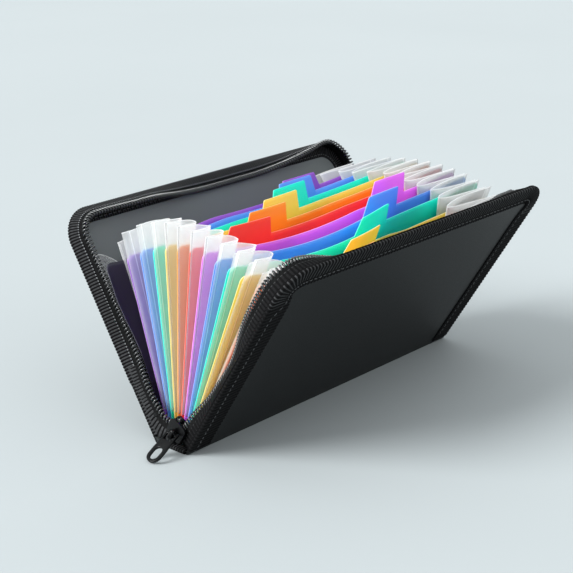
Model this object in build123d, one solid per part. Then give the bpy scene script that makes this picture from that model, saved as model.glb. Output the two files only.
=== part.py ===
from build123d import *
import math
import os

# Zip-around accordion file, standing open on its spine, in millimetres and degrees.
# X runs along the spine with the zipper slider at -X, the front cover leans to -Y, +Z is up.
# The origin is the middle of the spine's underside.

# Covers and spine
COVER_LENGTH = 187.0
COVER_HEIGHT = 108.0
COVER_THICKNESS = 1.2
CORNER_RADIUS = 15.0
SPINE_WIDTH = 18.4
CREASE_CLEARANCE = 0.15
FRONT_OPEN_ANGLE = 31.6
BACK_OPEN_ANGLE = 32.0

# Ribbon binding round three edges of each cover
BINDING_THICKNESS = 0.5
BINDING_OUTER_WIDTH = 12.0
BINDING_INNER_WIDTH = 6.0
BINDING_START_HEIGHT = 2.0

# Zipper tape and teeth on each cover
TAPE_INSET = 1.0
TAPE_THICKNESS = 0.6
TAPE_HEIGHT = 4.6
TAPE_START_HEIGHT = 2.2
TOOTH_PITCH = 2.4
TOOTH_GAP = 1.1
TOOTH_HEIGHT = 1.8
TOOTH_ROOT_HEIGHT = 0.7
TOOTH_DEPTH = 1.6
STOP_LENGTH = 1.5
STOP_DEPTH = 2.0

# Slider, its bridge and its pull
SLIDER_PARK_HEIGHT = 5.6
SLIDER_LENGTH = 8.6
SLIDER_WIDTH = 9.0
SLIDER_PLATE_THICKNESS = 1.1
SLIDER_CORNER_RADIUS = 1.6
SLIDER_CLEARANCE = 0.3
FLANGE_WIDTH = 0.8
FLANGE_SLOT_WIDTH = 1.1
WEDGE_WIDTH = 1.4
WEDGE_LENGTH = 2.6
BRIDGE_WIDTH = 1.6
BRIDGE_LENGTH = 5.4
BRIDGE_THICKNESS = 1.0
BRIDGE_OFFSET = 1.4
PULL_LENGTH = 16.0
PULL_WIDTH = 7.4
PULL_THICKNESS = 1.2
PULL_WALL_WIDTH = 1.0
PULL_RIM_WIDTH = 1.5
PULL_CLEARANCE = 0.4
PULL_DROOP_ANGLE = 30.0
PULL_WINDOW_LENGTH = 6.4
PULL_WINDOW_WIDTH = 4.2

# Pocket dividers, the black sheet behind them and the floor that holds them
DIVIDER_COUNT = 12
DIVIDER_END_CLEARANCE = 5.5
DIVIDER_TOP_CLEARANCE = 19.0
DIVIDER_SAG_DEPTH = 4.0
DIVIDER_THICKNESS = 0.5
DIVIDER_CORNER_RADIUS = 3.0
SHEET_PITCH = 1.2
BEAD_RADIUS = 0.35
BEAD_CLEARANCE = 0.1
FLOOR_THICKNESS = 1.2
FLOOR_MARGIN = 0.4
TAB_COUNT_PER_ROW = 6
TAB_WIDTH = 26.0
TAB_RISE_HEIGHT = 9.0
TAB_PITCH = 15.8
TAB_FIRST_OFFSET = 41.0
TAB_ROW_SHIFT = 4.5
TAB_CORNER_RADIUS = 1.6

# Fan of the sheets: a steady step from the front cover, which opens wider towards the back cover
FAN_MIDDLE_SHEET = 4
FAN_MIDDLE_ANGLE = 2.4
FAN_FRONT_GAP_ANGLE = 2.2
FAN_BACK_GAP_ANGLE = 8.4

# Clear film gussets, folded inwards between neighbouring sheets at both ends
FILM_THICKNESS = 0.22
FILM_WELD_MARGIN = 4.0
FILM_TOP_DEPTH = 22.0
FILM_BOTTOM_DEPTH = 8.0
FILM_START_HEIGHT = 12.0
FILM_RISE_HEIGHT = 7.0
FILM_CLEARANCE = 0.1

# Values that follow from the sizes above
crease_half = SPINE_WIDTH / 2
crease_z = COVER_THICKNESS / 2
cover_face = COVER_THICKNESS / 2
lip_face = cover_face + BINDING_THICKNESS
tape_top = lip_face + TAPE_HEIGHT
tooth_floor = tape_top + TOOTH_ROOT_HEIGHT
tooth_tip = tooth_floor + TOOTH_HEIGHT
back_row_start = SLIDER_PARK_HEIGHT + SLIDER_LENGTH / 2 + SLIDER_CLEARANCE
sheet_z = COVER_THICKNESS + FLOOR_THICKNESS
sheet_count = DIVIDER_COUNT + 1
divider_length = COVER_LENGTH - 2 * DIVIDER_END_CLEARANCE
divider_height = COVER_HEIGHT - DIVIDER_TOP_CLEARANCE
film_top = divider_height + FILM_RISE_HEIGHT
front_reach = FAN_MIDDLE_ANGLE + FRONT_OPEN_ANGLE - FAN_FRONT_GAP_ANGLE
fan_step = front_reach / (DIVIDER_COUNT - FAN_MIDDLE_SHEET)
back_reach = BACK_OPEN_ANGLE - FAN_BACK_GAP_ANGLE - FAN_MIDDLE_ANGLE
fan_spread = (back_reach - fan_step * FAN_MIDDLE_SHEET) / FAN_MIDDLE_SHEET**2

front_plane = Plane(
    origin=(0, -crease_half, crease_z),
    x_dir=(-1, 0, 0),
    z_dir=(0, math.cos(math.radians(FRONT_OPEN_ANGLE)), math.sin(math.radians(FRONT_OPEN_ANGLE))),
)
back_plane = Plane(
    origin=(0, crease_half, crease_z),
    x_dir=(1, 0, 0),
    z_dir=(0, -math.cos(math.radians(BACK_OPEN_ANGLE)), math.sin(math.radians(BACK_OPEN_ANGLE))),
)


def save(shape, name):
    """Write one piece to its own file."""
    export_step(shape, f"parts/{name}.step")


def cover_outline(inset, base):
    """Cover shape drawn in by an inset on three edges, round at both upper corners."""
    height = COVER_HEIGHT - inset - base
    blank = Pos(0, base) * Rectangle(COVER_LENGTH - 2 * inset, height, align=(Align.CENTER, Align.MIN))
    radius = max(CORNER_RADIUS - inset, BINDING_THICKNESS)
    return fillet(blank.vertices().group_by(Axis.Y)[-1], radius)


def edge_band(inner_inset, outer_inset, base):
    """Strip that follows the left, top and right edges of a cover between two insets."""
    return cover_outline(outer_inset, base) - cover_outline(inner_inset, base - BINDING_START_HEIGHT)


def raised(sketch, low, high):
    """Sketch on a cover made solid between two heights over the middle of its board."""
    return extrude(Pos(0, 0, low) * sketch, high - low, dir=(0, 0, 1))


def cover_board():
    """Plastic board with a round lower edge that turns in the spine's hollow edge."""
    board = raised(cover_outline(BINDING_THICKNESS, 0), -cover_face, cover_face)
    lower_edge = Rot(0, 90, 0) * Cylinder(cover_face, COVER_LENGTH - 2 * BINDING_THICKNESS)
    return board + lower_edge


def cover_binding():
    """Ribbon folded over the edge: wide outside, narrower inside."""
    outside = edge_band(BINDING_OUTER_WIDTH, 0, BINDING_START_HEIGHT)
    rim = edge_band(BINDING_THICKNESS, 0, BINDING_START_HEIGHT)
    inside = edge_band(BINDING_INNER_WIDTH, 0, BINDING_START_HEIGHT)
    ribbon = raised(outside, -lip_face, -cover_face)
    ribbon += raised(rim, -cover_face, cover_face)
    return ribbon + raised(inside, cover_face, lip_face)


def zipper_tape():
    """Woven tape that stands on the binding along three edges."""
    half = TAPE_THICKNESS / 2
    return raised(edge_band(TAPE_INSET + half, TAPE_INSET - half, TAPE_START_HEIGHT), lip_face, tape_top)


def row_place(distance):
    """Point and heading on the zipper row, measured along it from its left end."""
    half = COVER_LENGTH / 2 - TAPE_INSET
    radius = max(CORNER_RADIUS - TAPE_INSET, BINDING_THICKNESS)
    side = COVER_HEIGHT - TAPE_INSET - radius - TAPE_START_HEIGHT
    arc = radius * math.pi / 2
    top = 2 * (half - radius)
    if distance < side:
        return -half, TAPE_START_HEIGHT + distance, 90.0
    if distance < side + arc:
        turn = (distance - side) / radius
        x = -half + radius * (1 - math.cos(turn))
        return x, TAPE_START_HEIGHT + side + radius * math.sin(turn), 90.0 - math.degrees(turn)
    if distance < side + arc + top:
        return -half + radius + distance - side - arc, COVER_HEIGHT - TAPE_INSET, 0.0
    x, y, heading = row_place(row_length() - distance)
    return -x, y, -heading


def row_length():
    """Length of the zipper row round the three edges."""
    half = COVER_LENGTH / 2 - TAPE_INSET
    radius = max(CORNER_RADIUS - TAPE_INSET, BINDING_THICKNESS)
    side = COVER_HEIGHT - TAPE_INSET - radius - TAPE_START_HEIGHT
    return 2 * side + radius * math.pi + 2 * (half - radius)


def zipper_teeth(start, offset):
    """Row of teeth on the tape's edge, cut at a steady pitch from one strip."""
    half = TOOTH_DEPTH / 2
    first = start + STOP_LENGTH
    strip = raised(edge_band(TAPE_INSET + half, TAPE_INSET - half, first), tape_top, tooth_tip)
    gaps = []
    distance = first - TAPE_START_HEIGHT + offset
    last = row_length() - (first - TAPE_START_HEIGHT)
    while distance < last:
        x, y, heading = row_place(distance)
        gap = Box(TOOTH_GAP, 2 * TOOTH_DEPTH, TOOTH_HEIGHT, align=(Align.CENTER, Align.CENTER, Align.MIN))
        gaps.append(Pos(x, y, tooth_floor) * Rot(0, 0, heading) * gap)
        distance += TOOTH_PITCH
    return strip - gaps


def zipper_stops(start):
    """Small clamp at each end of a row of teeth."""
    block = Box(STOP_DEPTH, STOP_LENGTH, tooth_tip - tape_top, align=(Align.CENTER, Align.MIN, Align.MIN))
    block = chamfer(block.edges().filter_by(Axis.Y).group_by(Axis.Z)[-1], STOP_DEPTH / 4)
    half = COVER_LENGTH / 2 - TAPE_INSET
    return Pos(-half, start, tape_top) * block + Pos(half, start, tape_top) * block


def make_covers():
    """Both covers with their trim; the back row of teeth starts above the parked slider."""
    front = ("front", front_plane, TAPE_START_HEIGHT, 0.0)
    back = ("back", back_plane, back_row_start, TOOTH_PITCH / 2)
    for name, plane, start, offset in (front, back):
        save(plane.location * cover_board(), f"{name}_cover")
        save(plane.location * cover_binding(), f"{name}_binding")
        save(plane.location * zipper_tape(), f"{name}_zipper_tape")
        save(plane.location * zipper_teeth(start, offset), f"{name}_zipper_teeth")
        save(plane.location * zipper_stops(start), f"{name}_zipper_stops")


def make_spine():
    """Spine board hollowed along both long edges, where the covers' round edges turn."""
    length = COVER_LENGTH - 2 * BINDING_THICKNESS
    board = Box(length, SPINE_WIDTH, COVER_THICKNESS, align=(Align.CENTER, Align.CENTER, Align.MIN))
    reach = cover_face + CREASE_CLEARANCE
    hollow = Rot(0, 90, 0) * Cylinder(reach, COVER_LENGTH)
    hollow += Box(COVER_LENGTH, 2 * reach, COVER_THICKNESS, align=(Align.CENTER, Align.CENTER, Align.MIN))
    for side in (-1, 1):
        board -= Pos(0, side * crease_half, crease_z) * hollow
    save(board, "spine_panel")


def sheet_y(index):
    """Place of a sheet's lower edge across the spine, counted from the back."""
    return SHEET_PITCH * ((sheet_count - 1) / 2 - index)


def sheet_angle(index):
    """Lean of a sheet from upright, positive to the back."""
    from_middle = FAN_MIDDLE_SHEET - index
    return FAN_MIDDLE_ANGLE + fan_step * from_middle + fan_spread * max(0, from_middle) ** 2


def leaning_plane(y, z, angle):
    """Plane of a board whose lower edge lies along X and which leans by an angle."""
    lean = math.radians(angle)
    return Plane(origin=(0, y, z), x_dir=(1, 0, 0), z_dir=(0, -math.cos(lean), math.sin(lean)))


def make_floor():
    """Floor of the pockets, with one trough for the lower edge of each sheet."""
    width = SHEET_PITCH * (sheet_count - 1) + 2 * (BEAD_RADIUS + BEAD_CLEARANCE + FLOOR_MARGIN)
    floor = Box(divider_length, width, FLOOR_THICKNESS, align=(Align.CENTER, Align.CENTER, Align.MIN))
    floor = Pos(0, 0, COVER_THICKNESS) * floor
    reach = BEAD_RADIUS + BEAD_CLEARANCE
    trough = Box(COVER_LENGTH, 2 * reach, 2 * reach)
    floor -= [Pos(0, sheet_y(index), sheet_z) * trough for index in range(sheet_count)]
    save(floor, "pocket_floor")


def sheet_blank():
    """Plain sheet whose upper edge sags between its two corners."""
    half = divider_length / 2
    left, right = (-half, divider_height), (half, divider_height)
    upper = ThreePointArc(left, (0, divider_height - DIVIDER_SAG_DEPTH), right)
    sides = Polyline(right, (half, 0), (-half, 0), left)
    blank = make_face(upper + sides)
    return fillet(blank.vertices().group_by(Axis.Y)[-1], DIVIDER_CORNER_RADIUS)


def index_tab(number):
    """Tab that rises from a sheet, one step along for each place in its row."""
    row, place = divmod(number - 1, TAB_COUNT_PER_ROW)
    end = TAB_FIRST_OFFSET + TAB_ROW_SHIFT * row - TAB_PITCH * place
    height = DIVIDER_SAG_DEPTH + TAB_RISE_HEIGHT
    tab = Rectangle(TAB_WIDTH, height, align=(Align.MAX, Align.MIN))
    tab = fillet(tab.vertices().group_by(Axis.Y)[-1], TAB_CORNER_RADIUS)
    return Pos(end, divider_height - 2 * DIVIDER_SAG_DEPTH) * tab


def sheet_solid(outline, index):
    """Sheet of even thickness with a bead along its lower edge, at its lean."""
    sheet = raised(outline, -DIVIDER_THICKNESS / 2, DIVIDER_THICKNESS / 2)
    sheet += Rot(0, 90, 0) * Cylinder(BEAD_RADIUS, divider_length)
    return leaning_plane(sheet_y(index), sheet_z, sheet_angle(index)).location * sheet


def make_sheets():
    """Black sheet at the back and the tabbed dividers, in two rows of tabs."""
    save(sheet_solid(sheet_blank(), 0), "back_end_sheet")
    for number in range(1, DIVIDER_COUNT + 1):
        outline = sheet_blank() + index_tab(number)
        save(sheet_solid(outline, number), f"divider_{number:02d}")


def wall_line(index):
    """Foot, lean and half thickness of a sheet, or of a cover past either end of the fan."""
    if index < 0:
        return crease_half, crease_z, BACK_OPEN_ANGLE, cover_face
    if index >= sheet_count:
        return -crease_half, crease_z, -FRONT_OPEN_ANGLE, cover_face
    return sheet_y(index), sheet_z, sheet_angle(index), DIVIDER_THICKNESS / 2


def wall_point(index, height, facing):
    """Point just off a wall's face, at a height along the wall, facing -1 to front or 1 to back."""
    y, z, angle, half = wall_line(index)
    lean = math.radians(angle)
    off = facing * (half + FILM_CLEARANCE)
    return Vector(
        0,
        y + height * math.sin(lean) + off * math.cos(lean),
        z + height * math.cos(lean) - off * math.sin(lean),
    )


def fold_corners(index, height, depth, side):
    """Corners of the folded film seen from above between one wall and the next, at one height."""
    behind = wall_point(index - 1, height, -1)
    ahead = wall_point(index, height, 1)
    across = ahead - behind
    width = across.length
    weld = divider_length / 2 - FILM_WELD_MARGIN
    film = FILM_THICKNESS * math.hypot(depth, width / 2) / depth
    crest = 2 * film * depth / width
    corners = [
        (weld, 0),
        (weld - depth, width / 2),
        (weld, width),
        (weld, width - film),
        (weld - depth + crest, width / 2),
        (weld, film),
    ]
    return [Vector(side * x, 0, 0) + behind + across * (y / width) for x, y in corners]


def flat_sided(lower, upper):
    """Solid between two rings of corners, whose sides are split alike outside and inside."""
    faces = [Face(Wire.make_polygon(lower)), Face(Wire.make_polygon(upper))]
    for i in range(len(lower)):
        j = (i + 1) % len(lower)
        outside = i < len(lower) / 2
        low, high = (lower[i], upper[j]) if outside else (lower[j], upper[i])
        faces.append(Face(Wire.make_polygon([lower[i], lower[j], high])))
        faces.append(Face(Wire.make_polygon([low, upper[j], upper[i]])))
    return Solid(Shell(faces))


def make_gussets():
    """Film pleats at both ends, from the back cover to the front cover."""
    for side, name in ((-1, "left"), (1, "right")):
        for index in range(sheet_count + 1):
            lower = fold_corners(index, FILM_START_HEIGHT, FILM_BOTTOM_DEPTH, side)
            upper = fold_corners(index, film_top, FILM_TOP_DEPTH, side)
            save(flat_sided(lower, upper), f"{name}_gusset_{index + 1:02d}")


def slider_plane():
    """Frame of the parked slider: x along the row, y across the row, z away from the pockets."""
    along = front_plane.y_dir
    across = front_plane.z_dir
    centre = front_plane.origin + along * SLIDER_PARK_HEIGHT + across * crease_half
    centre = centre + Vector(-(COVER_LENGTH / 2 - TAPE_INSET), 0, 0)
    return Plane(origin=centre, x_dir=along, z_dir=(-1, 0, 0))


plate_low = TOOTH_DEPTH / 2 + SLIDER_CLEARANCE
plate_high = plate_low + SLIDER_PLATE_THICKNESS
bar_radius = PULL_THICKNESS / 2
bar_height = plate_high + PULL_CLEARANCE + bar_radius
bridge_inside = bar_height + bar_radius + SLIDER_CLEARANCE


def make_slider():
    """Slider body: two plates held apart by a wedge, with rims that hook the teeth."""
    plate = fillet(Rectangle(SLIDER_LENGTH, SLIDER_WIDTH).vertices(), SLIDER_CORNER_RADIUS)
    rim_length = SLIDER_LENGTH - 2 * SLIDER_CORNER_RADIUS
    rim_y = SLIDER_WIDTH / 2 - FLANGE_WIDTH / 2
    rim_height = plate_low - FLANGE_SLOT_WIDTH / 2
    wedge_x = SLIDER_LENGTH / 2 - WEDGE_LENGTH / 2 - FLANGE_WIDTH
    body = extrude(Pos(wedge_x, 0, -plate_low) * SlotOverall(WEDGE_LENGTH, WEDGE_WIDTH), 2 * plate_low)
    for side in (-1, 1):
        low = plate_low if side > 0 else -plate_high
        body += extrude(Pos(0, 0, low) * plate, SLIDER_PLATE_THICKNESS)
        for edge in (-1, 1):
            rim = Box(rim_length, FLANGE_WIDTH, rim_height)
            body += Pos(0, edge * rim_y, side * (plate_low - rim_height / 2)) * rim
    save(slider_plane().location * body, "zipper_slider")


def make_bridge():
    """Bridge on the slider's outer plate that keeps the pull on."""
    rise = bridge_inside + BRIDGE_THICKNESS - plate_high
    frame = Rectangle(BRIDGE_LENGTH, rise, align=(Align.CENTER, Align.MIN))
    frame = fillet(frame.vertices().group_by(Axis.Y)[-1], BRIDGE_THICKNESS)
    inside = BRIDGE_LENGTH - 2 * BRIDGE_THICKNESS
    opening = Rectangle(inside, rise - BRIDGE_THICKNESS, align=(Align.CENTER, Align.MIN))
    profile = Plane.XZ.location * (frame - opening)
    arch = extrude(profile, BRIDGE_WIDTH, dir=(0, -1, 0))
    place = Pos(-BRIDGE_OFFSET, BRIDGE_WIDTH / 2, plate_high)
    save(slider_plane().location * place * arch, "slider_bridge")


def make_pull():
    """Flat pull that hangs plumb: an eye round the bridge, then a wider grip with an oval window."""
    lean = math.radians(FRONT_OPEN_ANGLE)
    corner_ahead = BRIDGE_LENGTH / 2 * math.cos(lean) + BRIDGE_WIDTH / 2 * math.sin(lean)
    corner_aside = BRIDGE_LENGTH / 2 * math.sin(lean) + BRIDGE_WIDTH / 2 * math.cos(lean)
    reach = math.hypot(corner_ahead, bridge_inside + BRIDGE_THICKNESS - bar_height) + PULL_CLEARANCE
    eye_width = 2 * (corner_aside + PULL_CLEARANCE)
    eye = Pos(bar_radius, 0) * Rectangle(reach - bar_radius, eye_width, align=(Align.MIN, Align.CENTER))
    neck = Pos(-bar_radius, 0) * Rectangle(
        PULL_LENGTH / 2 + bar_radius, eye_width + 2 * PULL_WALL_WIDTH, align=(Align.MIN, Align.CENTER)
    )
    grip_length = PULL_LENGTH - reach - BRIDGE_THICKNESS
    grip = Pos(PULL_LENGTH - grip_length / 2, 0) * SlotOverall(grip_length, PULL_WIDTH)
    window_x = PULL_LENGTH - PULL_RIM_WIDTH - PULL_WINDOW_LENGTH / 2
    window = Pos(window_x, 0) * SlotOverall(PULL_WINDOW_LENGTH, PULL_WINDOW_WIDTH)
    outline = neck + grip - eye - window
    pull = extrude(Pos(0, 0, -bar_radius) * outline, PULL_THICKNESS)
    hang = Rot(0, 0, FRONT_OPEN_ANGLE) * Rot(0, -90 - PULL_DROOP_ANGLE, 0)
    save(slider_plane().location * Pos(-BRIDGE_OFFSET, 0, bar_height) * hang * pull, "zipper_pull")


os.makedirs("parts", exist_ok=True)
make_spine()
make_covers()
make_floor()
make_sheets()
make_gussets()
make_slider()
make_bridge()
make_pull()
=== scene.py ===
import math

import bpy
import numpy as np
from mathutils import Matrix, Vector


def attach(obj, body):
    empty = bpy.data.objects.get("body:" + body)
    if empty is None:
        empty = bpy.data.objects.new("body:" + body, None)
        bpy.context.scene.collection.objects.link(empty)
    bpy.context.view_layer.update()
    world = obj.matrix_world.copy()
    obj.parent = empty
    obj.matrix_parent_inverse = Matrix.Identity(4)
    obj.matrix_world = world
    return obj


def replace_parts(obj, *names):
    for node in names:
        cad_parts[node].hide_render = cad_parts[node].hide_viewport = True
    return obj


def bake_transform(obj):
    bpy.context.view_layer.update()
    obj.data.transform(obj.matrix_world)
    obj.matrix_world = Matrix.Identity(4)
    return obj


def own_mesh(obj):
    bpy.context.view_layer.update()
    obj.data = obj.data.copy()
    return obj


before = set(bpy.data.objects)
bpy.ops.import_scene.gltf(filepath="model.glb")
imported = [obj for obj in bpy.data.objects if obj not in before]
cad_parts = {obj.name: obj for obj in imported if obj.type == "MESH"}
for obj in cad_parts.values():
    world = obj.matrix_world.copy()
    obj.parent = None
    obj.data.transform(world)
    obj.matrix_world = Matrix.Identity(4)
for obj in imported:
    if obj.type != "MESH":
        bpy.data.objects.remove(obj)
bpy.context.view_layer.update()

# Accordion file standing open on its spine. Lengths are millimetres in the shared frame, and angles are
# degrees; meshes, lights and camera are placed in metres.
MM = 0.001

# Covers, as in the solids. Height u on a cover starts at its crease, and the top edge's forms at TOP_START.
COVER_LENGTH = 187.0
COVER_HEIGHT = 108.0
COVER_FACE = 0.6
CORNER_RADIUS = 15.0
CREASE_Y = 9.2
CREASE_Z = 0.6
FRONT_OPEN = 31.6
BACK_OPEN = 32.0
TOP_START = 84.0
TOP_EASE = 20.0


# Geometry helpers

def arr(*values):
    return np.array(values, float)


def unit(vectors):
    vectors = np.asarray(vectors, float)
    return vectors / np.maximum(np.linalg.norm(vectors, axis=-1, keepdims=True), 1e-12)


def ease(values):
    """Smooth step from 0 to 1."""
    values = np.clip(values, 0, 1)
    return values * values * (3 - 2 * values)


def near_top(u):
    """0 along the sides of a cover and 1 along its top edge."""
    return ease((u - TOP_START) / TOP_EASE)


def round_off(inset, radius):
    """Drop of an edge near a round corner, from the distance to the corner's side."""
    near = np.clip(radius - inset, 0, radius)
    return radius - np.sqrt(np.maximum(radius**2 - near**2, 0))


def new_piece(name, points, faces, materials, face_material=None):
    """Smooth mesh object from points in millimetres."""
    mesh = bpy.data.meshes.new(name)
    mesh.from_pydata((np.asarray(points) * MM).tolist(), [], faces)
    for material in materials:
        mesh.materials.append(material)
    if face_material is not None:
        mesh.polygons.foreach_set("material_index", np.asarray(face_material, np.int32))
    mesh.polygons.foreach_set("use_smooth", np.full(len(mesh.polygons), True))
    mesh.update()
    mesh.validate()
    piece = bpy.data.objects.new(name, mesh)
    bpy.context.scene.collection.objects.link(piece)
    return piece


def sweep(rows):
    """Points and faces of a capped tube through rows of closed section loops, shaped (rows, loop, 3)."""
    count, loop = rows.shape[:2]
    index = np.arange(count * loop).reshape(count, loop)
    after = np.roll(index, -1, axis=1)
    faces = np.stack([index[:-1], after[:-1], after[1:], index[1:]], axis=-1).reshape(-1, 4).tolist()
    faces.append(index[0][::-1].tolist())
    faces.append(index[-1].tolist())
    return rows.reshape(-1, 3), faces


def grid_quads(index):
    """Faces between neighbours in a grid of point numbers, row by row."""
    corners = [index[:-1, :-1], index[:-1, 1:], index[1:, 1:], index[1:, :-1]]
    return np.stack(corners, axis=-1).reshape(-1, 4)


def thick_sheet(grid, half):
    """Closed sheet from a grid of middle points (rows, columns, 3): one side, the other side and the rim."""
    along = np.gradient(grid, axis=0)
    across = np.gradient(grid, axis=1)
    normal = unit(np.cross(along, across))
    rows, columns = grid.shape[:2]
    shift = rows * columns
    index = np.arange(shift).reshape(rows, columns)
    ring = np.concatenate([index[0, :-1], index[:-1, -1], index[-1, :0:-1], index[:0:-1, 0]])
    after = np.roll(ring, -1)
    rim = np.stack([ring, after, after + shift, ring + shift], axis=-1)
    faces = np.concatenate([grid_quads(index)[:, [0, 3, 2, 1]], grid_quads(index + shift), rim])
    sides = [grid + normal * half, grid - normal * half]
    return np.concatenate([points.reshape(-1, 3) for points in sides]), faces.tolist()


def join_parts(parts):
    """One list of points and faces from several."""
    points, faces, offset = [], [], 0
    for part_points, part_faces in parts:
        points.append(part_points)
        faces.extend([[i + offset for i in face] for face in part_faces])
        offset += len(part_points)
    return np.concatenate(points), faces


class Cover:
    """Frame of a cover: x along the spine, u up the cover, v from its middle towards the pockets."""

    def __init__(self, side, angle):
        lean = math.radians(angle)
        self.origin = arr(0, side * CREASE_Y, CREASE_Z)
        self.u = arr(0, side * math.sin(lean), math.cos(lean))
        self.v = arr(0, -side * math.cos(lean), math.sin(lean))

    def at(self, x, u, v):
        """Points at places on the cover."""
        x, u, v = np.broadcast_arrays(np.asarray(x, float), u, v)
        return self.origin + x[..., None] * arr(1, 0, 0) + u[..., None] * self.u + v[..., None] * self.v

    def way(self, dx, du, dv=0.0):
        """Vectors along the cover's own directions."""
        dx, du, dv = np.broadcast_arrays(np.asarray(dx, float), du, dv)
        return dx[..., None] * arr(1, 0, 0) + du[..., None] * self.u + dv[..., None] * self.v


front = Cover(-1, FRONT_OPEN)
back = Cover(1, BACK_OPEN)


def edge_path(start, step, end=None):
    """Three edges of a cover from the lower left round to the lower right: length, x, u and inward normal."""
    half, radius = COVER_LENGTH / 2, CORNER_RADIUS
    left = COVER_HEIGHT - radius - start
    right = COVER_HEIGHT - radius - (start if end is None else end)
    arc, top = radius * math.pi / 2, 2 * (half - radius)
    total = left + right + 2 * arc + top
    s = np.linspace(0, total, int(round(total / step)) + 1)
    x, u, nx, nu = (np.zeros_like(s) for _ in range(4))
    marks = np.cumsum([left, arc, top, arc])
    on = s <= marks[0]
    x[on], u[on], nx[on], nu[on] = -half, start + s[on], 1, 0
    on = (s > marks[0]) & (s <= marks[1])
    turn = math.pi - (s[on] - marks[0]) / radius
    x[on], u[on] = -half + radius + radius * np.cos(turn), COVER_HEIGHT - radius + radius * np.sin(turn)
    nx[on], nu[on] = -np.cos(turn), -np.sin(turn)
    on = (s > marks[1]) & (s <= marks[2])
    x[on], u[on], nx[on], nu[on] = -half + radius + s[on] - marks[1], COVER_HEIGHT, 0, -1
    on = (s > marks[2]) & (s <= marks[3])
    turn = math.pi / 2 - (s[on] - marks[2]) / radius
    x[on], u[on] = half - radius + radius * np.cos(turn), COVER_HEIGHT - radius + radius * np.sin(turn)
    nx[on], nu[on] = -np.cos(turn), -np.sin(turn)
    on = s > marks[3]
    x[on], u[on], nx[on], nu[on] = half, COVER_HEIGHT - radius - (s[on] - marks[3]), -1, 0
    return s, x, u, nx, nu


# Materials. Noise is taken as running from NOISE_LOW to NOISE_HIGH.

NOISE_LOW = 0.3
NOISE_HIGH = 0.7


def linear(red, green, blue):
    """Linear colour from a display colour of 0 to 255."""
    values = [c / 255 for c in (red, green, blue)]
    return tuple(c / 12.92 if c <= 0.04045 else ((c + 0.055) / 1.055) ** 2.4 for c in values) + (1.0,)


class Shade:
    """Small helper round one node material with a principled shader."""

    def __init__(self, name):
        self.material = bpy.data.materials.new(name)
        self.material.use_nodes = True
        self.tree = self.material.node_tree
        self.bsdf = self.tree.nodes["Principled BSDF"]
        self.output = self.tree.nodes["Material Output"]
        place = self.tree.nodes.new("ShaderNodeTexCoord")
        self.coords, self.normal = place.outputs["Object"], place.outputs["Normal"]

    def put(self, **values):
        """Set inputs of the principled shader, with _ for a space in a name."""
        for key, value in values.items():
            self.bsdf.inputs[key.replace("_", " ")].default_value = value
        return self

    def node(self, kind, inputs=None, **settings):
        """New node whose inputs are linked to sockets or set to values."""
        made = self.tree.nodes.new(kind)
        for key, value in settings.items():
            setattr(made, key, value)
        for key, value in (inputs or {}).items():
            if hasattr(value, "is_linked"):
                self.tree.links.new(value, made.inputs[key])
            else:
                made.inputs[key].default_value = value
        return made

    def link(self, source, target):
        self.tree.links.new(source, self.bsdf.inputs[target])

    def stretched(self, scale):
        return self.node("ShaderNodeMapping", {"Vector": self.coords, "Scale": scale}).outputs["Vector"]

    def noise(self, scale, detail=3.0, rough=0.55, vector=None):
        inputs = {"Vector": vector or self.coords, "Scale": scale, "Detail": detail, "Roughness": rough}
        return self.node("ShaderNodeTexNoise", inputs).outputs["Fac"]

    def ramp(self, factor, low, high, start=NOISE_LOW, stop=NOISE_HIGH):
        """Colour that goes from low to high between two values of a factor."""
        ramp = self.node("ShaderNodeValToRGB", {"Fac": factor})
        ramp.color_ramp.elements[0].position, ramp.color_ramp.elements[1].position = start, stop
        ramp.color_ramp.elements[0].color, ramp.color_ramp.elements[1].color = low, high
        return ramp.outputs["Color"]

    def span(self, factor, low, high):
        """Number that goes from low to high with a noise."""
        limits = {"From Min": NOISE_LOW, "From Max": NOISE_HIGH, "To Min": low, "To Max": high}
        return self.node("ShaderNodeMapRange", {"Value": factor, **limits}).outputs["Result"]

    def bump(self, height, strength, distance):
        inputs = {"Height": height, "Strength": strength, "Distance": distance}
        self.link(self.node("ShaderNodeBump", inputs).outputs["Normal"], "Normal")

    def finish_mix(self, share, first, second):
        """Surface made of two shaders, with a share of the second."""
        mix = self.node("ShaderNodeMixShader", {"Fac": share})
        self.tree.links.new(first.outputs[0], mix.inputs[1])
        self.tree.links.new(second.outputs[0], mix.inputs[2])
        self.tree.links.new(mix.outputs["Shader"], self.output.inputs["Surface"])


def cover_material(name, colour, sheen_colour, sheen_way, roughness):
    """Matt plastic with a fine grain; the face that looks along the given way is painted in the second,
    lighter colour, a painted sheen for the light that face catches.
    """
    shade = Shade(name).put(Specular_IOR_Level=0.16)
    facing = shade.node(
        "ShaderNodeVectorMath", {0: shade.normal, 1: tuple(sheen_way)}, operation="DOT_PRODUCT"
    ).outputs["Value"]
    shade.link(shade.ramp(facing, colour, sheen_colour, 0.6, 0.8), "Base Color")
    shade.link(shade.span(shade.noise(2500, 3), roughness - 0.04, roughness + 0.04), "Roughness")
    shade.bump(shade.noise(5200, 2), 0.1, 0.0001)
    return shade.material


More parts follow.
